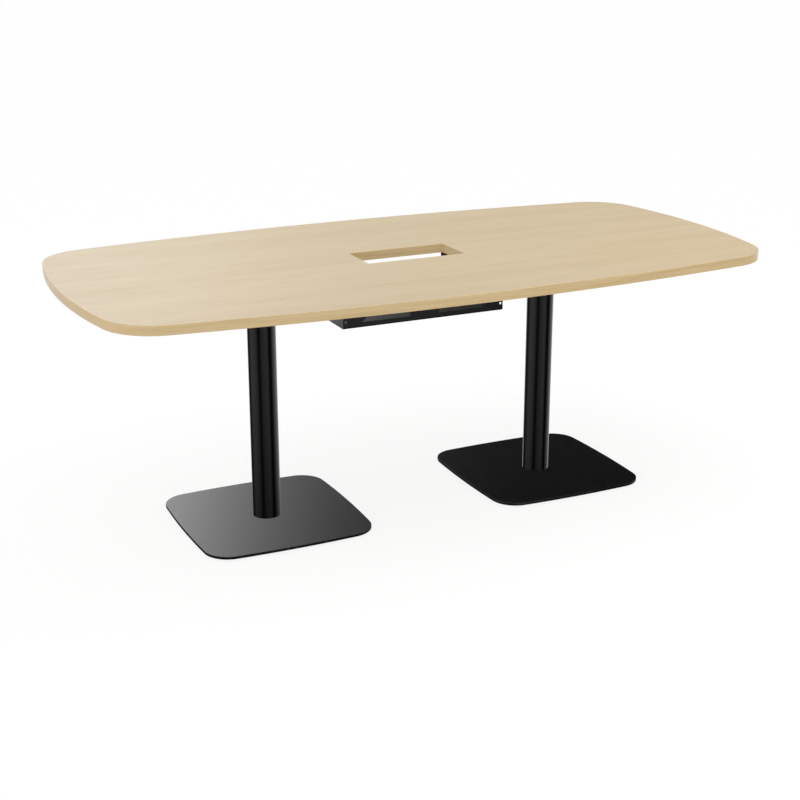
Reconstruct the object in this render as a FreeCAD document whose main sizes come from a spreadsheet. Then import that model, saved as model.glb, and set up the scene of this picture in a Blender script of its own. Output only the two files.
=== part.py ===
"""Meeting table: a barrel-shaped top with a cable cut-out, two column pedestals and a cable tray.

Frame: millimetres, +X along the table's length, +Y across it, +Z up. The origin is on the floor, under the
middle of the top.
"""

import FreeCAD, Part
import math
import os

import Sketcher
from FreeCAD import Vector

# Driving dimensions, in millimetres. Each one becomes a named cell of the sheet.
SIZES = {
    # Table top: a faced board with a plastic edge band, bowed on all four sides
    "table_height": 736,
    "top_length": 2000,
    "top_width": 1000,
    "top_thickness": 26,
    "top_side_radius": 6700,
    "top_end_radius": 1700,
    "top_corner_radius": 150,
    "edge_band_thickness": 2,
    "edge_band_round": 1.5,
    # Cable cut-out in the middle of the top, measured inside its own edge band
    "cutout_length": 300,
    "cutout_width": 140,
    "cutout_corner_radius": 3,
    "cutout_edge_round": 1,
    # Pedestals: square base plate with bowed sides, round column, square head plate
    "pedestal_spacing": 892,
    "base_side": 504,
    "base_bow_radius": 3000,
    "base_corner_radius": 75,
    "base_thickness": 8,
    "base_edge_round": 1,
    "column_diameter": 80,
    "column_wall": 2,
    "disc_thickness": 10,
    "head_plate_side": 320,
    "head_plate_corner_radius": 20,
    "head_plate_thickness": 6,
    # Countersunk bolts that hold the column's end discs to the base plate and the head plate
    "bolt_diameter": 8,
    "bolt_head_diameter": 16,
    "bolt_circle": 48,
    "bolt_key": 5,
    "bolt_key_depth": 2.5,
    "bolt_end_gap": 1,
    # Pan-head screws and threaded inserts that hold the head plate to the board
    "screw_diameter": 6,
    "screw_head_diameter": 12,
    "screw_head_height": 3.6,
    "screw_key": 4,
    "screw_key_depth": 2,
    "screw_row": 130,
    "screw_end_gap": 1,
    "insert_diameter": 10,
    "insert_length": 13,
    "insert_pocket_gap": 1,
    # Levelling glides under the corners of each base plate
    "glide_height": 4,
    "glide_diameter": 28,
    "glide_edge_round": 1.2,
    "glide_inset": 52,
    "glide_stud_diameter": 8,
    "glide_stud_sunk": 2.5,
    "glide_stud_chamfer": 0.6,
    "glide_stud_end_gap": 0.5,
    "glide_hole_skin": 1,
    # Cable tray: one folded sheet, open at both ends, hung by four ears
    "tray_length": 500,
    "tray_width": 240,
    "tray_height": 140,
    "tray_sheet": 1.5,
    "tray_bend_radius": 1.5,
    "tray_lip_height": 15,
    "tray_post_height": 60,
    "tray_post_width": 90,
    "tray_ear_width": 80,
    "tray_ear_undercut": 23,
    "tray_notch_radius": 4,
    "tray_flange": 25,
    "tray_flange_radius": 4,
    "tray_hole_diameter": 7,
    "tray_hole_end_gap": 7.5,
    "tray_hole_rise": 20,
    "tray_screw_diameter": 4,
    "tray_screw_head_diameter": 8,
    "tray_screw_head_height": 2.4,
    "tray_screw_key": 2.5,
    "tray_screw_key_depth": 1.2,
    "tray_screw_depth": 14,
    "tray_screw_inset": 18,
    "tray_screw_pocket_gap": 1,
    # Radial clearances: a bolt through a plate, and a thread or disc in its own hole
    "hole_clearance": 0.5,
    "fit_clearance": 0.05,
}

doc = FreeCAD.newDocument("meeting_table")
sheet = doc.addObject("Spreadsheet::Sheet", "Sizes")
for row, (alias, number) in enumerate(SIZES.items(), start=1):
    sheet.set(f"A{row}", alias)
    sheet.set(f"B{row}", str(number))
    sheet.setAlias(f"B{row}", alias)
doc.recompute()


class Length:
    """A length that carries its number and the sheet expression that the number comes from."""

    def __init__(self, number, text):
        self.number = float(number)
        self.text = text

    def __add__(self, other):
        return Length(self.number + other.number, f"({self.text} + {other.text})")

    def __sub__(self, other):
        return Length(self.number - other.number, f"({self.text} - {other.text})")

    def __mul__(self, factor):
        return Length(self.number * factor, f"({self.text} * {factor})")

    def __truediv__(self, factor):
        return Length(self.number / factor, f"({self.text} / {factor})")

    def __neg__(self):
        return self * -1


def cell(alias):
    """The Length held by one cell of the sheet."""
    return Length(sheet.get(alias), f"Sizes.{alias}")


def smaller(first, second):
    """The smaller of two Lengths, still bound to the sheet."""
    return Length(min(first.number, second.number), f"min({first.text}; {second.text})")


ORIGIN = Length(0, "0")
SIDES = {"left": -1, "right": 1}
ENDS = (-1, 1)
QUARTER_TURNS = 4
HEXAGON_SIDES = 6

# Two measures closer than this count as the same, in millimetres
SAME = 1e-3

# The most that a rounding may take of a wall, and of a plate that is rounded on both faces
WALL_SHARE = 0.9
PLATE_SHARE = 0.4

# A pan head's flat end, as a share of its width, and its straight rim, as a share of its height
PAN_FLAT_SHARE = 0.7
PAN_RIM_SHARE = 0.45

# How a sketch numbers a curve's own points and its two axes; the first axis starts at the origin
START, END, CENTRE = range(1, 4)
X_AXIS, Y_AXIS = range(-1, -3, -1)

# Heights and places that several pieces share
underside = cell("table_height") - cell("top_thickness")
head_plate_bottom = underside - cell("head_plate_thickness")
base_top = cell("glide_height") + cell("base_thickness")
column_length = head_plate_bottom - base_top
tray_bottom = underside - cell("tray_height")
half_spacing = cell("pedestal_spacing") / 2
glide_offset = cell("base_side") / 2 - cell("glide_inset")
top_outline = (
    cell("top_length"),
    cell("top_width"),
    cell("top_end_radius"),
    cell("top_side_radius"),
    cell("top_corner_radius"),
)
tray_screw_row = cell("tray_width") / 2 + cell("tray_flange") / 2
tray_screw_columns = (
    cell("tray_length") / 2 - cell("tray_screw_inset"),
    cell("tray_length") / 2 - cell("tray_ear_width") + cell("tray_screw_inset"),
)


# Bodies and sketches


def new_body(label, x=ORIGIN, y=ORIGIN, z=ORIGIN):
    """An empty body that stands at x, y, z. Its name is the name of its file."""
    body = doc.addObject("PartDesign::Body", label)
    body.Label = label
    body.AllowCompound = True
    for axis, place in (("x", x), ("y", y), ("z", z)):
        body.setExpression(f"Placement.Base.{axis}", place.text)
    return body


def origin_feature(body, role):
    """One of the body's own origin planes or axes."""
    return next(f for f in body.Origin.OriginFeatures if f.Role == role)


def new_sketch(body, name, role="XY_Plane", x=ORIGIN, y=ORIGIN, z=ORIGIN):
    """A sketch on one of the body's origin planes, moved by x, y, z along the sketch's own axes."""
    sketch = body.newObject("Sketcher::SketchObject", name)
    sketch.AttachmentSupport = [(origin_feature(body, role), "")]
    sketch.MapMode = "FlatFace"
    for axis, place in (("x", x), ("y", y), ("z", z)):
        sketch.setExpression(f"AttachmentOffset.Base.{axis}", place.text)
    return sketch


def drive(sketch, kind, *references, length):
    """Adds a dimension to a sketch and binds it to the sheet."""
    index = sketch.addConstraint(Sketcher.Constraint(kind, *references, length.number))
    sketch.setExpression(f"Constraints[{index}]", length.text)


def pin_point(sketch, geometry, point, x, y):
    """Fixes a point of a sketch at x, y from the sketch's origin."""
    if x is ORIGIN:
        sketch.addConstraint(Sketcher.Constraint("PointOnObject", geometry, point, Y_AXIS))
    else:
        drive(sketch, "DistanceX", X_AXIS, START, geometry, point, length=x)
    if y is ORIGIN:
        sketch.addConstraint(Sketcher.Constraint("PointOnObject", geometry, point, X_AXIS))
    else:
        drive(sketch, "DistanceY", X_AXIS, START, geometry, point, length=y)


def add_polygon(sketch, corners):
    """A closed outline of straight lines through the given corners."""
    points = [Vector(x.number, y.number, 0) for x, y in corners]
    lines = [
        sketch.addGeometry(Part.LineSegment(start, end))
        for start, end in zip(points, points[1:] + points[:1])
    ]
    for line, following in zip(lines, lines[1:] + lines[:1]):
        sketch.addConstraint(Sketcher.Constraint("Coincident", line, END, following, START))
    for line, (x, y) in zip(lines, corners):
        pin_point(sketch, line, START, x, y)


def add_circle(sketch, x, y, diameter):
    """A circle of the given diameter at x, y."""
    centre = Vector(x.number, y.number, 0)
    circle = sketch.addGeometry(Part.Circle(centre, Vector(0, 0, 1), diameter.number / 2))
    drive(sketch, "Diameter", circle, length=diameter)
    pin_point(sketch, circle, CENTRE, x, y)


def add_arc(sketch, centre, radius, first_angle, last_angle):
    """An arc that runs anticlockwise from one angle to the other, in radians."""
    circle = Part.Circle(Vector(*centre, 0), Vector(0, 0, 1), radius)
    return sketch.addGeometry(Part.ArcOfCircle(circle, first_angle, last_angle))


def join_tangent(sketch, pieces):
    """Joins a closed ring of lines and arcs end to end, each smooth with the next."""
    for piece, following in zip(pieces, pieces[1:] + pieces[:1]):
        sketch.addConstraint(Sketcher.Constraint("Tangent", piece, END, following, START))


def add_rounded_rectangle(sketch, length, width, radius):
    """A rectangle about the sketch's origin, with round corners."""
    x = length / 2 - radius
    y = width / 2 - radius
    centres = [(x, y), (-x, y), (-x, -y), (x, -y)]
    quarter = math.pi / 2
    pieces = []
    for number, (corner_x, corner_y) in enumerate(centres):
        next_x, next_y = centres[(number + 1) % QUARTER_TURNS]
        first_angle = number * quarter
        last_angle = first_angle + quarter
        out = Vector(math.cos(last_angle), math.sin(last_angle), 0) * radius.number
        start = Vector(corner_x.number, corner_y.number, 0) + out
        end = Vector(next_x.number, next_y.number, 0) + out
        centre = (corner_x.number, corner_y.number)
        pieces.append(add_arc(sketch, centre, radius.number, first_angle, last_angle))
        pieces.append(sketch.addGeometry(Part.LineSegment(start, end)))
    join_tangent(sketch, pieces)
    for arc, (corner_x, corner_y) in zip(pieces[::2], centres):
        pin_point(sketch, arc, CENTRE, corner_x, corner_y)
        drive(sketch, "Radius", arc, length=radius)


def add_barrel(sketch, length, width, end_bow, side_bow, corner_round, inset):
    """A rectangle about the sketch's origin, moved inwards by inset: four bowed sides joined by round corners.

    Every arc keeps its centre as the outline moves in, so that a board and its band share one line.
    """
    side_radius = side_bow - inset
    end_radius = end_bow - inset
    corner_radius = corner_round - inset
    side_centre = side_bow - width / 2
    end_centre = end_bow - length / 2

    # A corner's centre lies where two circles cross: each bowed side's own circle, less the corner's radius.
    side_reach = side_radius.number - corner_radius.number
    end_reach = end_radius.number - corner_radius.number
    from_side = Vector(0, -side_centre.number, 0)
    from_end = Vector(-end_centre.number, 0, 0)
    between = from_end - from_side
    along = (side_reach**2 - end_reach**2 + between.Length**2) / (2 * between.Length)
    across = math.sqrt(side_reach**2 - along**2)
    direction = Vector(between).normalize()
    corner = from_side + direction * along + Vector(direction.y, -direction.x, 0) * across

    to_side = math.atan2(corner.y - from_side.y, corner.x - from_side.x)
    to_end = math.atan2(corner.y - from_end.y, corner.x - from_end.x)
    half_turn = math.pi
    sides = [
        ((-end_centre.number, 0), end_radius, -to_end, to_end),
        ((corner.x, corner.y), corner_radius, to_end, to_side),
        ((0, -side_centre.number), side_radius, to_side, half_turn - to_side),
        ((-corner.x, corner.y), corner_radius, half_turn - to_side, half_turn - to_end),
        ((end_centre.number, 0), end_radius, half_turn - to_end, half_turn + to_end),
        ((-corner.x, -corner.y), corner_radius, half_turn + to_end, half_turn + to_side),
        ((0, side_centre.number), side_radius, half_turn + to_side, 2 * half_turn - to_side),
        ((corner.x, -corner.y), corner_radius, 2 * half_turn - to_side, 2 * half_turn - to_end),
    ]
    arcs = [add_arc(sketch, centre, r.number, first, last) for centre, r, first, last in sides]
    join_tangent(sketch, arcs)
    for arc, (_, radius, _, _) in zip(arcs, sides):
        drive(sketch, "Radius", arc, length=radius)
    right_end, far_side, left_end, near_side = arcs[::2]
    pin_point(sketch, right_end, CENTRE, -end_centre, ORIGIN)
    pin_point(sketch, far_side, CENTRE, ORIGIN, -side_centre)
    pin_point(sketch, left_end, CENTRE, end_centre, ORIGIN)
    pin_point(sketch, near_side, CENTRE, ORIGIN, side_centre)


# Features


def pad(body, sketch, height, name="slab", symmetric=False):
    """Grows a sketch into a solid of the given height."""
    feature = body.newObject("PartDesign::Pad", name)
    feature.Profile = sketch
    feature.setExpression("Length", height.text)
    feature.Midplane = symmetric
    doc.recompute()
    return feature


def pocket(body, sketch, name, depth=None, upwards=False, symmetric=False):
    """Cuts a sketch into the body, to a depth or all the way through."""
    before = body.Shape.Volume
    feature = body.newObject("PartDesign::Pocket", name)
    feature.Profile = sketch
    feature.Midplane = symmetric
    feature.Reversed = upwards
    if depth is None:
        feature.Type = "ThroughAll"
    else:
        feature.setExpression("Length", depth.text)
    doc.recompute()
    check_cut(body, before, name)
    return feature


def turn(body, name, corners, x=ORIGIN, y=ORIGIN, cut=False):
    """Turns a profile of radius and height about an upright axis at x, y, to add a solid or to cut a hole."""
    before = body.Shape.Volume if cut else 0
    sketch = new_sketch(body, f"{name}_profile", "XZ_Plane", x=x, z=-y)
    add_polygon(sketch, corners)
    feature = body.newObject("PartDesign::Groove" if cut else "PartDesign::Revolution", name)
    feature.Profile = sketch
    feature.ReferenceAxis = (sketch, ["V_Axis"])
    feature.Angle = 360
    doc.recompute()
    if cut:
        check_cut(body, before, name)
    return feature


def around(body, features, name, axis=None):
    """Repeats features four times around the body's upright axis, or around the axis that is given."""
    pattern = body.newObject("PartDesign::PolarPattern", name)
    pattern.Originals = features
    pattern.Axis = axis or (origin_feature(body, "Z_Axis"), [""])
    pattern.Angle = 360
    pattern.Occurrences = QUARTER_TURNS
    body.Tip = pattern
    doc.recompute()
    return pattern


def round_edges(body, name, radius, wanted):
    """Rounds every edge of the body's last feature that the test picks."""
    base = body.Tip
    names = [f"Edge{n}" for n, edge in enumerate(base.Shape.Edges, start=1) if wanted(edge)]
    feature = body.newObject("PartDesign::Fillet", name)
    feature.Base = (base, names)
    feature.setExpression("Radius", radius.text)
    doc.recompute()
    return feature


def check_cut(body, before, name):
    """Stops the build if a cut took nothing away."""
    if not body.Shape.Volume < before:
        raise RuntimeError(f"{body.Label}: the cut {name} removes nothing")


def lies_at_height(edge, height):
    """True for an edge that lies flat at the given height of its own body."""
    return abs(edge.BoundBox.ZMin - height) < SAME and abs(edge.BoundBox.ZMax - height) < SAME


def reaches_past(edge, half_length, half_width):
    """True for an edge that leaves the given rectangle about the origin."""
    box = edge.BoundBox
    return max(box.XMax, -box.XMin) > half_length or max(box.YMax, -box.YMin) > half_width


# Table top: the board, with its own holes, and the two edge bands


def make_top_board():
    band = cell("edge_band_thickness")
    body = new_body("top_board", z=underside)
    outline = new_sketch(body, "board_outline")
    add_barrel(outline, *top_outline, band)
    add_rounded_rectangle(
        outline,
        cell("cutout_length") + band * 2,
        cell("cutout_width") + band * 2,
        cell("cutout_corner_radius") + band,
    )
    pad(body, outline, cell("top_thickness"))

    bore = cell("insert_diameter") + cell("fit_clearance") * 2
    for side, sign in SIDES.items():
        holes = new_sketch(body, f"{side}_insert_holes", x=half_spacing * sign)
        add_circle(holes, cell("screw_row"), cell("screw_row"), bore)
        add_circle(holes, cell("screw_row"), ORIGIN, bore)
        depth = cell("insert_length") + cell("insert_pocket_gap")
        cut = pocket(body, holes, f"{side}_insert_pockets", depth, upwards=True)
        around(body, [cut], f"{side}_insert_pattern", (holes, ["N_Axis"]))

    pilots = new_sketch(body, "tray_pilot_holes")
    pilot = cell("tray_screw_diameter") + cell("fit_clearance") * 2
    for sign_x in ENDS:
        for sign_y in ENDS:
            for column in tray_screw_columns:
                add_circle(pilots, column * sign_x, tray_screw_row * sign_y, pilot)
    depth = cell("tray_screw_depth") + cell("tray_screw_pocket_gap")
    pocket(body, pilots, "tray_pilot_pockets", depth, upwards=True)


def make_top_edge_band():
    band = cell("edge_band_thickness")
    thickness = cell("top_thickness")
    body = new_body("top_edge_band", z=underside)
    outline = new_sketch(body, "band_outline")
    add_barrel(outline, *top_outline, ORIGIN)
    add_barrel(outline, *top_outline, band)
    pad(body, outline, thickness)
    outer_arcs = {
        cell("top_side_radius").number,
        cell("top_end_radius").number,
        cell("top_corner_radius").number,
    }

    def is_outer_rim(edge):
        flat = lies_at_height(edge, 0) or lies_at_height(edge, thickness.number)
        return flat and min(abs(edge.Curve.Radius - radius) for radius in outer_arcs) < SAME

    round_edges(body, "band_rounding", smaller(cell("edge_band_round"), band * WALL_SHARE), is_outer_rim)


def make_cutout_edge_band():
    band = cell("edge_band_thickness")
    thickness = cell("top_thickness")
    length, width, radius = cell("cutout_length"), cell("cutout_width"), cell("cutout_corner_radius")
    body = new_body("cutout_edge_band", z=underside)
    outline = new_sketch(body, "lining_outline")
    add_rounded_rectangle(outline, length, width, radius)
    add_rounded_rectangle(outline, length + band * 2, width + band * 2, radius + band)
    pad(body, outline, thickness)
    half_length = (length / 2 + band / 2).number
    half_width = (width / 2 + band / 2).number

    def is_inner_top(edge):
        return lies_at_height(edge, thickness.number) and not reaches_past(edge, half_length, half_width)

    rounding = smaller(cell("cutout_edge_round"), band * WALL_SHARE)
    round_edges(body, "lining_rounding", rounding, is_inner_top)


# Fasteners: each profile is a list of radius and height, from the middle of the driven end


def countersunk(plate, reach=ORIGIN, shank_gap=ORIGIN, head_gap=ORIGIN):
    """A countersunk bolt, flush with a plate's face, that reaches past the plate, or with gaps its hole."""
    shank = cell("bolt_diameter") / 2 + shank_gap
    head = cell("bolt_head_diameter") / 2 + head_gap
    return [
        (ORIGIN, ORIGIN),
        (head, ORIGIN),
        (shank, head - shank),
        (shank, plate + reach),
        (ORIGIN, plate + reach),
    ]


def bolt_hole(plate):
    """The countersunk hole for a bolt through a plate."""
    return countersunk(plate, shank_gap=cell("hole_clearance"), head_gap=cell("fit_clearance"))


def flipped(profile, height):
    """The same profile turned upside down, with its driven end at the given height."""
    return [(radius, height - rise) for radius, rise in reversed(profile)]


def pan_head(diameter, head_diameter, head_height, reach):
    """A pan-head screw with its head under z 0 and its shank above it."""
    shank = diameter / 2
    head = head_diameter / 2
    rim = head_height * PAN_RIM_SHARE
    return [
        (ORIGIN, -head_height),
        (head * PAN_FLAT_SHARE, -head_height),
        (head, -rim),
        (head, ORIGIN),
        (shank, ORIGIN),
        (shank, reach),
        (ORIGIN, reach),
    ]


def tube_wall(inner_radius, outer_radius, height):
    """The wall of a plain ring that stands on z 0."""
    return [
        (inner_radius, ORIGIN),
        (outer_radius, ORIGIN),
        (outer_radius, height),
        (inner_radius, height),
    ]


def cut_key_socket(body, name, x, y, across_flats, depth, face, upwards):
    """Cuts a hexagon socket into a screw head whose face lies at the given height."""
    sketch = new_sketch(body, f"{name}_outline", x=x, y=y, z=face)
    half = across_flats / 2
    point = half / math.cos(math.pi / HEXAGON_SIDES)
    corners = [
        (point, ORIGIN),
        (point / 2, half),
        (-point / 2, half),
        (-point, ORIGIN),
        (-point / 2, -half),
        (point / 2, -half),
    ]
    add_polygon(sketch, corners)
    return pocket(body, sketch, name, depth, upwards=upwards)


# Pedestals: the base plate, the column with its two end discs, the head plate and what bolts them together


def make_base_plate(side, x):
    thickness = cell("base_thickness")
    body = new_body(f"{side}_base_plate", x=x, z=cell("glide_height"))
    outline = new_sketch(body, "plate_outline")
    size, bow = cell("base_side"), cell("base_bow_radius")
    add_barrel(outline, size, size, bow, bow, cell("base_corner_radius"), ORIGIN)
    pad(body, outline, thickness)
    hole = turn(body, "bolt_hole", bolt_hole(thickness), x=cell("bolt_circle") / 2, cut=True)
    around(body, [hole], "bolt_holes")
    stud_bore = cell("glide_stud_diameter") / 2 + cell("fit_clearance")
    depth = thickness - cell("glide_hole_skin")
    profile = [(ORIGIN, ORIGIN), (stud_bore, ORIGIN), (stud_bore, depth), (ORIGIN, depth)]
    blind = turn(body, "glide_hole", profile, x=glide_offset, y=glide_offset, cut=True)
    around(body, [blind], "glide_holes")
    past_glides = (size.number / 2 + glide_offset.number) / 2

    def is_rim(edge):
        flat = lies_at_height(edge, 0) or lies_at_height(edge, thickness.number)
        return flat and reaches_past(edge, past_glides, past_glides)

    round_edges(body, "plate_rounding", smaller(cell("base_edge_round"), thickness * PLATE_SHARE), is_rim)


def make_column(side, x):
    body = new_body(f"{side}_column_tube", x=x, z=base_top)
    section = new_sketch(body, "tube_section")
    add_circle(section, ORIGIN, ORIGIN, cell("column_diameter"))
    add_circle(section, ORIGIN, ORIGIN, cell("column_diameter") - cell("column_wall") * 2)
    pad(body, section, column_length)


def make_end_disc(side, x, end, z):
    """A thick disc welded inside one end of the column, tapped for the bolts."""
    inside = cell("column_diameter") - cell("column_wall") * 2
    thread = cell("bolt_diameter") / 2 + cell("fit_clearance")
    thickness = cell("disc_thickness")
    body = new_body(f"{side}_column_{end}_disc", x=x, z=z)
    outline = new_sketch(body, "disc_outline")
    add_circle(outline, ORIGIN, ORIGIN, inside - cell("fit_clearance") * 2)
    pad(body, outline, thickness)
    profile = [(ORIGIN, ORIGIN), (thread, ORIGIN), (thread, thickness), (ORIGIN, thickness)]
    hole = turn(body, "tapped_hole", profile, x=cell("bolt_circle") / 2, cut=True)
    around(body, [hole], "tapped_holes")


def make_head_plate(side, x):
    thickness = cell("head_plate_thickness")
    clear = cell("screw_diameter") / 2 + cell("hole_clearance")
    body = new_body(f"{side}_head_plate", x=x, z=head_plate_bottom)
    outline = new_sketch(body, "plate_outline")
    add_rounded_rectangle(
        outline, cell("head_plate_side"), cell("head_plate_side"), cell("head_plate_corner_radius")
    )
    pad(body, outline, thickness)
    sunk = flipped(bolt_hole(thickness), thickness)
    hole = turn(body, "bolt_hole", sunk, x=cell("bolt_circle") / 2, cut=True)
    around(body, [hole], "bolt_holes")
    profile = [(ORIGIN, ORIGIN), (clear, ORIGIN), (clear, thickness), (ORIGIN, thickness)]
    for place, y in (("corner", cell("screw_row")), ("middle", ORIGIN)):
        hole = turn(body, f"{place}_screw_hole", profile, x=cell("screw_row"), y=y, cut=True)
        around(body, [hole], f"{place}_screw_holes")


def make_bolts(side, x, end, plate, face, pointing_up):
    """Four countersunk bolts through a plate into the end disc of the column."""
    reach = cell("disc_thickness") - cell("bolt_end_gap")
    body = new_body(f"{side}_{end}_bolts", x=x, z=face)
    profile = countersunk(plate, reach)
    if not pointing_up:
        profile = flipped(profile, ORIGIN)
    radius = cell("bolt_circle") / 2
    bolt = turn(body, "bolt", profile, x=radius)
    key, depth = cell("bolt_key"), cell("bolt_key_depth")
    socket = cut_key_socket(body, "bolt_socket", radius, ORIGIN, key, depth, ORIGIN, upwards=pointing_up)
    around(body, [bolt, socket], "bolts")


def make_top_screws(side, x):
    """Eight pan-head screws that hold the head plate up against the board."""
    reach = cell("head_plate_thickness") + cell("insert_length") - cell("screw_end_gap")
    head_height = cell("screw_head_height")
    profile = pan_head(cell("screw_diameter"), cell("screw_head_diameter"), head_height, reach)
    row = cell("screw_row")
    body = new_body(f"{side}_top_screws", x=x, z=head_plate_bottom)
    for place, y in (("corner", row), ("middle", ORIGIN)):
        screw = turn(body, f"{place}_screw", profile, x=row, y=y)
        key, depth = cell("screw_key"), cell("screw_key_depth")
        socket = cut_key_socket(body, f"{place}_socket", row, y, key, depth, -head_height, upwards=True)
        around(body, [screw, socket], f"{place}_screws")


def make_top_inserts(side, x):
    """Eight threaded inserts, flush with the board's underside."""
    inner = cell("screw_diameter") / 2 + cell("fit_clearance")
    profile = tube_wall(inner, cell("insert_diameter") / 2, cell("insert_length"))
    row = cell("screw_row")
    body = new_body(f"{side}_top_inserts", x=x, z=underside)
    for place, y in (("corner", row), ("middle", ORIGIN)):
        insert = turn(body, f"{place}_insert", profile, x=row, y=y)
        around(body, [insert], f"{place}_inserts")


def make_glides(side, x):
    """Four levelling glides: a moulded pad on a threaded stud that screws into the base plate from below."""
    height = cell("glide_height")
    sunk = cell("glide_stud_sunk")
    foot_radius = cell("glide_diameter") / 2
    edge = smaller(cell("glide_edge_round"), height * PLATE_SHARE)
    stud_radius = cell("glide_stud_diameter") / 2
    bore = stud_radius + cell("fit_clearance")
    grip = cell("base_thickness") - cell("glide_hole_skin") - cell("glide_stud_end_gap")
    pad_profile = [
        (ORIGIN, ORIGIN),
        (foot_radius - edge, ORIGIN),
        (foot_radius, edge),
        (foot_radius, height - edge / 2),
        (foot_radius - edge / 2, height),
        (bore, height),
        (bore, height - sunk),
        (ORIGIN, height - sunk),
    ]
    stud_length = sunk + grip
    point = cell("glide_stud_chamfer")
    stud_profile = [
        (ORIGIN, ORIGIN),
        (stud_radius, ORIGIN),
        (stud_radius, stud_length - point),
        (stud_radius - point, stud_length),
        (ORIGIN, stud_length),
    ]
    corners = [(sign_x, sign_y) for sign_y in ENDS for sign_x in ENDS]
    for number, (sign_x, sign_y) in enumerate(corners, start=1):
        place_x = x + glide_offset * sign_x
        place_y = glide_offset * sign_y
        foot = new_body(f"{side}_glide_pad_{number}", place_x, place_y)
        turn(foot, "foot", pad_profile)
        stud = new_body(f"{side}_glide_stud_{number}", place_x, place_y, height - sunk)
        turn(stud, "stud", stud_profile)


def make_pedestal(side, sign):
    x = half_spacing * sign
    make_base_plate(side, x)
    make_column(side, x)
    make_end_disc(side, x, "foot", base_top)
    make_end_disc(side, x, "head", head_plate_bottom - cell("disc_thickness"))
    make_head_plate(side, x)
    make_bolts(side, x, "base", cell("base_thickness"), cell("glide_height"), pointing_up=True)
    make_bolts(side, x, "head", cell("head_plate_thickness"), underside, pointing_up=False)
    make_top_screws(side, x)
    make_top_inserts(side, x)
    make_glides(side, x)


# Cable tray: a folded sheet of floor, two walls and outward flanges; between its four ears each wall is cut down
# to a low lip with a post in its middle, and the ears are cut back at a slant where they meet the lip


def make_cable_tray():
    half = cell("tray_width") / 2
    sheet_metal = cell("tray_sheet")
    height = cell("tray_height")
    out = half + cell("tray_flange")
    inside = half - sheet_metal
    body = new_body("cable_tray", z=tray_bottom)
    section = new_sketch(body, "tray_section", "YZ_Plane")
    right_half = [
        (half, ORIGIN),
        (half, height - sheet_metal),
        (out, height - sheet_metal),
        (out, height),
        (inside, height),
        (inside, sheet_metal),
    ]
    add_polygon(section, right_half + [(-y, z) for y, z in reversed(right_half)])
    pad(body, section, cell("tray_length"), "folded_sheet", symmetric=True)

    def bend_test(places):
        def is_bend(edge):
            box, middle = edge.BoundBox, edge.CenterOfMass
            along_x = box.XLength > box.YLength + box.ZLength
            gaps = [max(abs(abs(middle.y) - y.number), abs(middle.z - z.number)) for y, z in places]
            return along_x and min(gaps) < SAME

        return is_bend

    bend = cell("tray_bend_radius")
    inner_bends = [(inside, sheet_metal), (half, height - sheet_metal)]
    outer_bends = [(half, ORIGIN), (inside, height)]
    round_edges(body, "inner_bends", bend, bend_test(inner_bends))
    round_edges(body, "outer_bends", bend + sheet_metal, bend_test(outer_bends))

    notch = new_sketch(body, "notch_outline", "XZ_Plane")
    lip = cell("tray_lip_height")
    post_top = cell("tray_post_height")
    post_side = cell("tray_post_width") / 2
    ear_side = cell("tray_length") / 2 - cell("tray_ear_width")
    undercut = cell("tray_ear_undercut")
    above = height + sheet_metal
    slant_top, slant_foot = (ear_side, lip + undercut), (ear_side + undercut, lip)
    post_foot, post_head = (post_side, lip), (post_side, post_top)
    right_side = [(ear_side, above), slant_top, slant_foot, post_foot, post_head]
    add_polygon(notch, right_side + [(-x, z) for x, z in reversed(right_side)])
    pocket(body, notch, "notch", symmetric=True)

    def is_notch_corner(edge):
        middle = edge.CenterOfMass
        rounded = (slant_top, post_foot, post_head)
        gaps = [max(abs(abs(middle.x) - x.number), abs(middle.z - z.number)) for x, z in rounded]
        return min(gaps) < SAME and edge.BoundBox.YLength > sheet_metal.number / 2

    round_edges(body, "notch_rounding", cell("tray_notch_radius"), is_notch_corner)

    wall_holes = new_sketch(body, "wall_hole_outline", "XZ_Plane")
    flange_holes = new_sketch(body, "flange_hole_outline")
    hole_x = cell("tray_length") / 2 - cell("tray_hole_end_gap")
    clear = cell("tray_screw_diameter") + cell("hole_clearance") * 2
    for sign_x in ENDS:
        add_circle(wall_holes, hole_x * sign_x, cell("tray_hole_rise"), cell("tray_hole_diameter"))
        for sign_y in ENDS:
            for column in tray_screw_columns:
                add_circle(flange_holes, column * sign_x, tray_screw_row * sign_y, clear)
    pocket(body, wall_holes, "wall_holes", symmetric=True)
    pocket(body, flange_holes, "flange_holes", upwards=True)

    def is_flange_corner(edge):
        upright = edge.BoundBox.ZLength > sheet_metal.number / 2
        return upright and abs(abs(edge.CenterOfMass.y) - out.number) < SAME

    round_edges(body, "flange_rounding", cell("tray_flange_radius"), is_flange_corner)


def make_tray_screws():
    """Eight pan-head wood screws, up through the tray's flanges into the board."""
    reach = cell("tray_sheet") + cell("tray_screw_depth")
    head_diameter, head_height = cell("tray_screw_head_diameter"), cell("tray_screw_head_height")
    profile = pan_head(cell("tray_screw_diameter"), head_diameter, head_height, reach)
    key, depth = cell("tray_screw_key"), cell("tray_screw_key_depth")
    body = new_body("tray_screws", z=underside - cell("tray_sheet"))
    for end_name, sign_x in zip(("left", "right"), ENDS):
        for wall_name, sign_y in zip(("front", "rear"), ENDS):
            for number, column in enumerate(tray_screw_columns, start=1):
                name = f"{end_name}_{wall_name}_screw_{number}"
                x, y = column * sign_x, tray_screw_row * sign_y
                turn(body, name, profile, x=x, y=y)
                cut_key_socket(body, f"{name}_socket", x, y, key, depth, -head_height, upwards=True)


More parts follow.
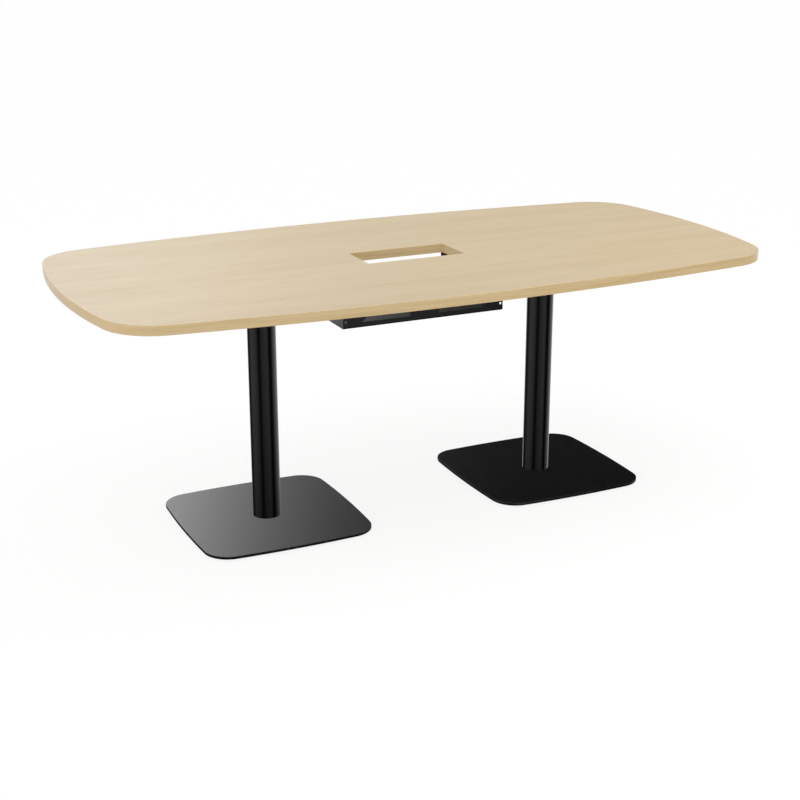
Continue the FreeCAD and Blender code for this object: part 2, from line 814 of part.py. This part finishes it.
def check_model():
    """Stops the build if any object of the document failed or any sub-part is not a sound solid."""
    for item in doc.Objects:
        if {"Invalid", "Error"} & set(item.State):
            raise RuntimeError(f"{item.Label} failed: {item.State}")
    for body in doc.findObjects("PartDesign::Body"):
        shape = body.Shape
        if shape.isNull() or not shape.isValid() or not shape.Solids:
            raise RuntimeError(f"{body.Label} is not a sound solid")


def write_parts():
    os.makedirs("parts", exist_ok=True)
    for body in doc.findObjects("PartDesign::Body"):
        body.Shape.exportStep(os.path.join("parts", f"{body.Label}.step"))
        print(f"{body.Label}: {len(body.Shape.Solids)} solids, {body.Shape.Volume:.1f} mm3")


make_top_board()
make_top_edge_band()
make_cutout_edge_band()
for side_name, side_sign in SIDES.items():
    make_pedestal(side_name, side_sign)
make_cable_tray()
make_tray_screws()
doc.recompute()
check_model()
write_parts()
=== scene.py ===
"""Looks of a meeting table with two black pedestals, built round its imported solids.

All lengths are in metres: X runs along the table, Y across it and Z up from the floor.
"""

import math

import bpy
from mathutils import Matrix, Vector

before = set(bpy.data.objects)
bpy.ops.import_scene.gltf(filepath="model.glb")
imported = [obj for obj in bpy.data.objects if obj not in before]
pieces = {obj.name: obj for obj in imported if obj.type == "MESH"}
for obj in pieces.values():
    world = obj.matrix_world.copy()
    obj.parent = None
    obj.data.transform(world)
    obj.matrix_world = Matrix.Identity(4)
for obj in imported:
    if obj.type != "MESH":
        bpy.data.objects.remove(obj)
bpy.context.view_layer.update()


# Levelling glides: under each base plate are four moulded nylon pads, each pressed on a short steel stud.
# The pads are black with the dull bloom of a moulding; the studs are bright zinc-plated, drawn lengthwise.

sides = ("left", "right")
corners = range(1, 5)
nylon_black = (0.010, 0.010, 0.011)
nylon_bloom = (0.021, 0.021, 0.022)
nylon_grit_depth = 0.00004
zinc_blue = (0.47, 0.49, 0.52)
zinc_warm = (0.66, 0.66, 0.64)
zinc_drawn_depth = 0.00002


def add_node(tree, kind, inputs=(), **settings):
    """A node with its settings; each named input is set to a value or joined to another node's output."""
    node = tree.nodes.new(kind)
    for name, value in settings.items():
        setattr(node, name, value)
    for name, value in dict(inputs).items():
        if isinstance(value, bpy.types.NodeSocket):
            tree.links.new(value, node.inputs[name])
        else:
            node.inputs[name].default_value = value
    return node


def calc(tree, operation, first, second=0.0):
    """One sum of a material: one or two numbers, each a value or another node's output."""
    return add_node(tree, "ShaderNodeMath", {0: first, 1: second}, operation=operation).outputs[0]


def spread(tree, value, low, high, start=0.0, end=1.0, ease="SMOOTHSTEP"):
    """Value carried from the span low..high to the span start..end, and held at its ends."""
    span = {"Value": value, "From Min": low, "From Max": high, "To Min": start, "To Max": end}
    return add_node(tree, "ShaderNodeMapRange", span, interpolation_type=ease).outputs["Result"]


def mottle(tree, place, per_metre, detail=2.0, rough=0.5):
    """Cloudy noise, 0 to 1, with so many patches to the metre along each axis."""
    stretched = add_node(tree, "ShaderNodeMapping", {"Vector": place, "Scale": per_metre}).outputs["Vector"]
    cloud = {"Vector": stretched, "Scale": 1.0, "Detail": detail, "Roughness": rough}
    return add_node(tree, "ShaderNodeTexNoise", cloud, normalize=True).outputs["Fac"]


def between(tree, share, first, second):
    """The colour that lies between two colours by a share from 0 to 1."""
    node = add_node(tree, "ShaderNodeMix", {0: share}, data_type="RGBA")
    for socket, colour in ((node.inputs[6], first), (node.inputs[7], second)):
        if isinstance(colour, bpy.types.NodeSocket):
            tree.links.new(colour, socket)
        else:
            socket.default_value = (*colour, 1.0)
    return node.outputs[2]


def new_finish(name):
    """A new material, with its tree, its surface shader and the point's place on the table in metres."""
    material = bpy.data.materials.new(name)
    material.use_nodes = True
    tree = material.node_tree
    place = add_node(tree, "ShaderNodeTexCoord").outputs["Object"]
    return material, tree, tree.nodes["Principled BSDF"], place


def set_surface(tree, shader, colour, roughness):
    """Joins a finish's colour and roughness to its shader."""
    tree.links.new(colour, shader.inputs["Base Color"])
    tree.links.new(roughness, shader.inputs["Roughness"])


def relief(tree, shader, height, depth, strength=1.0):
    """Raises the surface by height times depth, in metres, for the light alone."""
    bump = {"Height": height, "Distance": depth, "Strength": strength}
    tree.links.new(add_node(tree, "ShaderNodeBump", bump).outputs["Normal"], shader.inputs["Normal"])


def dress(names, material):
    """Gives the finish to each named piece."""
    for name in names:
        for slot in pieces[name].material_slots:
            slot.material = material


nylon, tree, shader, place = new_finish("glide_nylon")
bloom = mottle(tree, place, (260, 260, 260), detail=4.0)
grit = mottle(tree, place, (2600, 2600, 2600), detail=1.0)
dulled = spread(tree, bloom, low=0.25, high=0.75, start=0.46, end=0.62)
set_surface(tree, shader, between(tree, bloom, nylon_black, nylon_bloom), dulled)
relief(tree, shader, grit, nylon_grit_depth)
dress([f"{side}_glide_pad_{corner}" for side in sides for corner in corners], nylon)

zinc, tree, shader, place = new_finish("zinc_plate")
spangle = mottle(tree, place, (420, 420, 420), detail=3.0)
drawn = mottle(tree, place, (3000, 3000, 240), detail=2.0)
brushed = spread(tree, drawn, low=0.2, high=0.8, start=0.22, end=0.40)
set_surface(tree, shader, between(tree, spangle, zinc_blue, zinc_warm), brushed)
shader.inputs["Metallic"].default_value = 1.0
relief(tree, shader, drawn, zinc_drawn_depth)
dress([f"{side}_glide_stud_{corner}" for side in sides for corner in corners], zinc)


# Base plates: two flat squares of 8 mm steel with round corners and slightly bowed sides, laser-cut and
# powder-coated black. The coat is satin with a fine orange peel, a touch thinner and greyer along the rim,
# where boots and mops reach.

plate_half = 0.252
plate_corner = 0.075
plate_bow = 3.000
pedestal_reach = 0.446
rim_wear_width = 0.0022
rim_wear_share = 0.55
worn_grey = (0.055, 0.054, 0.052)
coat_black = (0.0018, 0.0018, 0.0019)
coat_cloud = (0.0028, 0.0028, 0.0029)
coat_speck = (0.0070, 0.0070, 0.0072)
speck_share = 0.35
peel_depth = 0.0000025


def stain(tree, colour, mask, share, tint):
    """The colour with a share of a tint laid over it where the mask is 1."""
    return between(tree, calc(tree, "MULTIPLY", mask, share), colour, tint)


def powder_coat(name):
    """Satin black powder coat: cloudy gloss over a fine orange peel, with a sparse dusting of pale specks."""
    material, tree, shader, place = new_finish(name)
    cloud = mottle(tree, place, (34, 34, 34), detail=4.0)
    peel = mottle(tree, place, (620, 620, 620), detail=2.0)
    dust = mottle(tree, place, (1500, 1500, 1500), detail=1.0)
    coat = between(tree, cloud, coat_black, coat_cloud)
    colour = stain(tree, coat, spread(tree, dust, low=0.66, high=0.80), speck_share, coat_speck)
    gloss = spread(tree, cloud, low=0.3, high=0.7, start=0.17, end=0.20)
    relief(tree, shader, peel, peel_depth)
    return material, tree, shader, place, colour, gloss


def vector_sum(tree, operation, first, second=(0.0, 0.0, 0.0)):
    """One sum of a material on whole vectors, each a value or another node's output."""
    return add_node(tree, "ShaderNodeVectorMath", {0: first, 1: second}, operation=operation).outputs


plate_coat, tree, shader, place, colour, gloss = powder_coat("base_plate_coat")
one_side = vector_sum(tree, "ABSOLUTE", place)[0]
from_column = vector_sum(tree, "SUBTRACT", one_side, (pedestal_reach, 0.0, 0.0))[0]
quarter = vector_sum(tree, "ABSOLUTE", from_column)[0]
across = add_node(tree, "ShaderNodeSeparateXYZ", {0: quarter}).outputs
straightened = {}
# A bowed side falls back by the square of the distance from its middle, over twice the bow's radius.
for axis, other in ("XY", "YX"):
    sag = calc(tree, "MULTIPLY", calc(tree, "MULTIPLY", across[other], across[other]), 0.5 / plate_bow)
    straightened[axis] = calc(tree, "ADD", across[axis], sag)
on_floor = add_node(tree, "ShaderNodeCombineXYZ", straightened).outputs[0]
to_corner = plate_half - plate_corner
past_corner = vector_sum(tree, "SUBTRACT", on_floor, (to_corner, to_corner, 0.0))[0]
reach = vector_sum(tree, "LENGTH", vector_sum(tree, "MAXIMUM", past_corner)[0])["Value"]
rim = spread(tree, reach, low=plate_corner - rim_wear_width, high=plate_corner)
rub = spread(tree, mottle(tree, place, (55, 55, 55), detail=5.0, rough=0.7), low=0.48, high=0.72)
worn = stain(tree, colour, calc(tree, "MULTIPLY", rim, rub), rim_wear_share, worn_grey)
set_surface(tree, shader, worn, gloss)
dress([f"{side}_base_plate" for side in sides], plate_coat)


# Columns: round steel tube, powder-coated with the plates. A thick steel disc is welded into each end and
# tapped for the bolts, so the discs are bare inside and only a hair of them ever shows.

steel_dark = (0.34, 0.34, 0.35)
steel_bright = (0.50, 0.49, 0.48)
tool_mark_depth = 0.00002


def coat_plain(name, piece_names):
    """Dresses pieces in the powder coat as it comes from the oven, with no wear."""
    material, tree, shader, _, colour, gloss = powder_coat(name)
    set_surface(tree, shader, colour, gloss)
    dress(piece_names, material)


coat_plain("column_coat", [f"{side}_column_tube" for side in sides])

turned_steel, tree, shader, place = new_finish("turned_steel")
scale = mottle(tree, place, (120, 120, 120), detail=4.0)
tool_marks = mottle(tree, place, (1200, 1200, 3500), detail=2.0)
turned = spread(tree, tool_marks, low=0.2, high=0.8, start=0.34, end=0.52)
set_surface(tree, shader, between(tree, scale, steel_dark, steel_bright), turned)
shader.inputs["Metallic"].default_value = 1.0
relief(tree, shader, tool_marks, tool_mark_depth)
dress([f"{side}_column_{end}_disc" for side in sides for end in ("foot", "head")], turned_steel)


# Head plates and their fasteners: a square steel plate on each column carries the top. Countersunk bolts hold
# the columns at both ends, and pan-head screws go up into threaded brass inserts in the board.

brass_brown = (0.50, 0.36, 0.16)
brass_bright = (0.72, 0.56, 0.29)

coat_plain("head_plate_coat", [f"{side}_head_plate" for side in sides])
dress([f"{side}_{group}" for side in sides for group in ("base_bolts", "head_bolts", "top_screws")], zinc)

brass, tree, shader, place = new_finish("insert_brass")
tarnish = mottle(tree, place, (300, 300, 300), detail=4.0)
rubbed = spread(tree, tarnish, low=0.25, high=0.75, start=0.42, end=0.26)
set_surface(tree, shader, between(tree, tarnish, brass_brown, brass_bright), rubbed)
shader.inputs["Metallic"].default_value = 1.0
dress([f"{side}_top_inserts" for side in sides], brass)


# Table top: a 26 mm chipboard panel faced on both sides with a light wood-effect laminate.
# The printed grain runs along the table: slow pale and tan streaks, finer lines, and short pores pressed in.

oak_light = (0.700, 0.575, 0.385)
oak_mid = (0.655, 0.530, 0.340)
oak_dark = (0.580, 0.450, 0.265)
pore_brown = (0.46, 0.33, 0.18)
chip_pale = (0.62, 0.47, 0.29)
chip_dark = (0.34, 0.22, 0.11)
noise_middle = 0.5
grain_wander = 0.05
streak_share = 0.48
line_share = 0.22
pore_share = 0.20
line_height = 0.4
grain_depth = 0.00003
grain_strength = 0.6


def levelness(tree):
    """How level the surface lies: 0 where it stands upright, 1 where it faces straight up or down."""
    facing = add_node(tree, "ShaderNodeNewGeometry").outputs["Normal"]
    return calc(tree, "ABSOLUTE", add_node(tree, "ShaderNodeSeparateXYZ", {0: facing}).outputs["Z"])


laminate, tree, shader, place = new_finish("wood_laminate")
wander = calc(tree, "SUBTRACT", mottle(tree, place, (0.8, 2.6, 2.6), detail=2.0), noise_middle)
drift = add_node(tree, "ShaderNodeCombineXYZ", {"Y": calc(tree, "MULTIPLY", wander, grain_wander)}).outputs[0]
along_grain = vector_sum(tree, "ADD", place, drift)[0]
streaks = mottle(tree, along_grain, (6.5, 75, 75), detail=4.0, rough=0.60)
bands = mottle(tree, along_grain, (0.9, 11.0, 11.0), detail=3.0)
lines = mottle(tree, along_grain, (9.0, 420, 420), detail=3.0, rough=0.6)
pores = spread(tree, mottle(tree, along_grain, (42, 1500, 1500), detail=1.0), low=0.60, high=0.74)
figure = between(tree, spread(tree, bands, low=0.3, high=0.7), oak_light, oak_mid)
figure = stain(tree, figure, spread(tree, streaks, low=0.45, high=0.85), streak_share, oak_dark)
figure = stain(tree, figure, spread(tree, lines, low=0.5, high=0.8), line_share, oak_dark)
figure = stain(tree, figure, pores, pore_share, pore_brown)
chips = mottle(tree, place, (210, 210, 420), detail=4.0, rough=0.7)
core = between(tree, spread(tree, chips, low=0.35, high=0.65), chip_dark, chip_pale)
faced = between(tree, spread(tree, levelness(tree), low=0.4, high=0.6), core, figure)
satin = spread(tree, streaks, low=0.3, high=0.7, start=0.40, end=0.46)
set_surface(tree, shader, faced, satin)
pressed = calc(tree, "SUBTRACT", calc(tree, "MULTIPLY", lines, line_height), pores)
relief(tree, shader, pressed, grain_depth, strength=grain_strength)
dress(["top_board"], laminate)


# Edge bands: a 2 mm plastic strip printed to match the laminate, glued round the board and into the cut-out.
# Its print runs along the strip, its fine satin skin pales at a slant, and its rounded corner is buffed.

band_light = (0.735, 0.545, 0.290)
band_dark = (0.630, 0.445, 0.210)
band_tick = (0.44, 0.31, 0.15)
band_blush = (0.70, 0.57, 0.36)
tick_share = 0.25
blush_share = 0.25
tick_depth = 0.00002
corner_buff = 0.12
skin_sheen = 0.8
skin_sheen_roughness = 0.3

banding, tree, shader, place = new_finish("edge_banding")
strip = mottle(tree, place, (5.0, 5.0, 170), detail=4.0, rough=0.6)
ticks = mottle(tree, place, (60, 60, 1100), detail=2.0)
blush = mottle(tree, place, (1.6, 1.6, 6.0), detail=2.0)
printed = between(tree, spread(tree, strip, low=0.35, high=0.75), band_light, band_dark)
printed = stain(tree, printed, spread(tree, ticks, low=0.58, high=0.8), tick_share, band_tick)
printed = stain(tree, printed, spread(tree, blush, low=0.4, high=0.7), blush_share, band_blush)
buffed = calc(tree, "MULTIPLY", spread(tree, levelness(tree), low=0.15, high=0.60), corner_buff)
skin = calc(tree, "SUBTRACT", spread(tree, strip, low=0.3, high=0.7, start=0.50, end=0.60), buffed)
set_surface(tree, shader, printed, skin)
shader.inputs["Sheen Weight"].default_value = skin_sheen
shader.inputs["Sheen Roughness"].default_value = skin_sheen_roughness
relief(tree, shader, ticks, tick_depth)
dress(["top_edge_band", "cutout_edge_band"], banding)


# Cable tray: one sheet of 1.5 mm steel, punched, folded into a trough with flanges and powder-coated black.
# Eight pan-head wood screws hold its flanges up to the underside of the board.

coat_plain("tray_coat", ["cable_tray"])
dress(["tray_screws"], zinc)


# Studio: a wide pale paper floor that keeps the table's soft shadow, a broad soft light from the front left,
# a softbox over the right half and a white surround. The black coat mirrors pale panels that stand round the
# table with dark gaps between them, and nothing else: the pieces and the floor are left out of its gloss.

floor_half = 40.0
paper_shade = (0.95, 0.95, 0.95)
paper_white = (0.98, 0.98, 0.98)
floor_glow = 1.05
floor_glow_share = 0.80
sun_spread = math.radians(100)
sun_energy = 1.05
sun_towards = Vector((0.68, 0.28, -0.68))
softbox_size = 2.0
softbox_power = 17.0
softbox_place = Vector((1.0, -0.4, 2.6))
softbox_aim = Vector((0.3, 0.0, 0.735))
fill_strength = 0.58
panel_gain = 2.6
plain_white = (1.0, 1.0, 1.0, 1.0)
no_light = (0.0, 0.0, 0.0)
half_turn = 180.0

floor_mesh = bpy.data.meshes.new("floor")
ends = (-floor_half, floor_half)
floor_mesh.from_pydata([(x, y, 0.0) for x in ends for y in ends], [], [(0, 2, 3, 1)])
floor = bpy.data.objects.new("floor", floor_mesh)
bpy.context.scene.collection.objects.link(floor)

paper, tree, shader, place = new_finish("floor_paper")
tree.nodes.remove(shader)
fibre = mottle(tree, place, (6, 6, 6), detail=3.0)
matt = add_node(tree, "ShaderNodeBsdfDiffuse", {"Color": between(tree, fibre, paper_shade, paper_white)})
glow = add_node(tree, "ShaderNodeEmission", {"Color": plain_white, "Strength": floor_glow})
ray = add_node(tree, "ShaderNodeLightPath").outputs
seen = calc(tree, "MAXIMUM", ray["Is Camera Ray"], ray["Is Glossy Ray"])
seen = calc(tree, "MAXIMUM", seen, ray["Is Transmission Ray"])
lift = calc(tree, "MULTIPLY", seen, floor_glow_share)
lifted = add_node(tree, "ShaderNodeMixShader", {0: lift, 1: matt.outputs[0], 2: glow.outputs[0]})
tree.links.new(lifted.outputs[0], tree.nodes["Material Output"].inputs["Surface"])
floor_mesh.materials.append(paper)

for unmirrored in (floor, *pieces.values()):
    unmirrored.visible_glossy = False


def hang_lamp(name, kind, energy, towards):
    """A lamp in the studio that shines along a direction."""
    light = bpy.data.lights.new(name, kind)
    light.energy = energy
    lamp = bpy.data.objects.new(name, light)
    lamp.rotation_euler = towards.to_track_quat("-Z", "Y").to_euler()
    bpy.context.scene.collection.objects.link(lamp)
    return lamp


sun = hang_lamp("soft_sun", "SUN", sun_energy, sun_towards)
sun.data.angle = sun_spread
softbox = hang_lamp("side_softbox", "AREA", softbox_power, softbox_aim - softbox_place)
softbox.data.size = softbox_size
softbox.location = softbox_place

world = bpy.data.worlds.new("studio")
bpy.context.scene.world = world
world.use_nodes = True
tree = world.node_tree
tree.nodes.clear()
way = add_node(tree, "ShaderNodeTexCoord").outputs["Generated"]
heading = add_node(tree, "ShaderNodeSeparateXYZ", {0: way}).outputs
turn = calc(tree, "ARCTAN2", heading["X"], heading["Y"])
rise = calc(tree, "ARCSINE", heading["Z"])
round_table = spread(tree, turn, low=-math.pi, high=math.pi, ease="LINEAR")


def panels(stops):
    """Brightness round the table: each stop is a bearing in degrees from straight behind, and a level."""
    ramp = add_node(tree, "ShaderNodeValToRGB", {0: round_table})
    marks = ramp.color_ramp.elements
    for way_round, _ in stops[1:-1]:
        marks.new((way_round + half_turn) / (2.0 * half_turn))
    for mark, (_, level) in zip(marks, stops):
        mark.color = (level, level, level, 1.0)
    return ramp.outputs["Color"]


def climb(low, high, start=0.0, end=1.0):
    """Goes smoothly from start to end as the view rises from low to high, in degrees over the horizon."""
    return spread(tree, rise, math.radians(low), math.radians(high), start, end)


low_panels = panels(
    (
        (-180, 0.50), (-160, 0.40), (-148, 0.20), (-138, 0.0), (-131, 0.0), (-118, 0.32), (-100, 0.62),
        (-66, 0.62), (-52, 0.34), (-40, 0.06), (-15, 0.03), (-2, 0.7), (12, 1.0), (60, 1.0),
        (92, 0.95), (112, 0.45), (126, 0.0), (144, 0.0), (153, 0.42), (166, 0.62), (180, 0.50),
    )
)
skyline = panels(
    (
        (-180, 0.22), (-90, 0.12), (-40, 0.20), (0, 0.30), (16, 0.30), (25, 0.24), (36, 0.14),
        (90, 0.12), (180, 0.22),
    )
)
high_panels = panels(
    (
        (-180, 0.22), (-150, 0.24), (-90, 0.16), (-40, 0.18), (-10, 0.25), (9, 0.7), (14, 1.08), (17, 0.62),
        (19, 0.34), (22, 0.14), (27, 0.012), (60, 0.01), (80, 0.14), (120, 0.24), (180, 0.22),
    )
)
panel_feet = climb(-25, -18, start=0.05)
panel_heads = climb(8, 13)
horizon = climb(-3, 3)
below = between(tree, panel_feet, no_light, low_panels)
above = between(tree, panel_heads, skyline, high_panels)
surround = between(tree, horizon, below, above)
gain = climb(-2, 4, start=1.0, end=panel_gain)
mirrored = add_node(tree, "ShaderNodeBackground", {"Color": surround, "Strength": gain})
fill = add_node(tree, "ShaderNodeBackground", {"Color": plain_white, "Strength": fill_strength})
white = add_node(tree, "ShaderNodeBackground", {"Color": plain_white, "Strength": 1.0})
ray = add_node(tree, "ShaderNodeLightPath").outputs
plain = calc(tree, "MAXIMUM", ray["Is Camera Ray"], ray["Is Transmission Ray"])
glossy = ray["Is Glossy Ray"]
lit = add_node(tree, "ShaderNodeMixShader", {0: glossy, 1: fill.outputs[0], 2: mirrored.outputs[0]})
seen = add_node(tree, "ShaderNodeMixShader", {0: plain, 1: lit.outputs[0], 2: white.outputs[0]})
add_node(tree, "ShaderNodeOutputWorld", {"Surface": seen.outputs[0]})


# Camera: a long portrait lens on a tripod, with its whole depth sharp. It stands to the left of the table's
# front, higher than the top, and looks down a little at the middle of the table.

look_at = Vector((-0.021106, 0.0, 0.296837))
bearing = math.radians(-25.18)
height_angle = math.radians(18.492)
distance = 4.401589
focal_length = 67.27
sensor_width = 36.0

lens = bpy.data.cameras.new("camera")
lens.sensor_width = sensor_width
lens.lens = focal_length
camera = bpy.data.objects.new("camera", lens)
level_reach = math.cos(height_angle)
back = Vector((math.sin(bearing) * level_reach, -math.cos(bearing) * level_reach, math.sin(height_angle)))
camera.location = look_at + back * distance
camera.rotation_euler = (-back).to_track_quat("-Z", "Y").to_euler()
bpy.context.scene.collection.objects.link(camera)
bpy.context.scene.camera = camera
bpy.context.scene.view_settings.view_transform = "Standard"
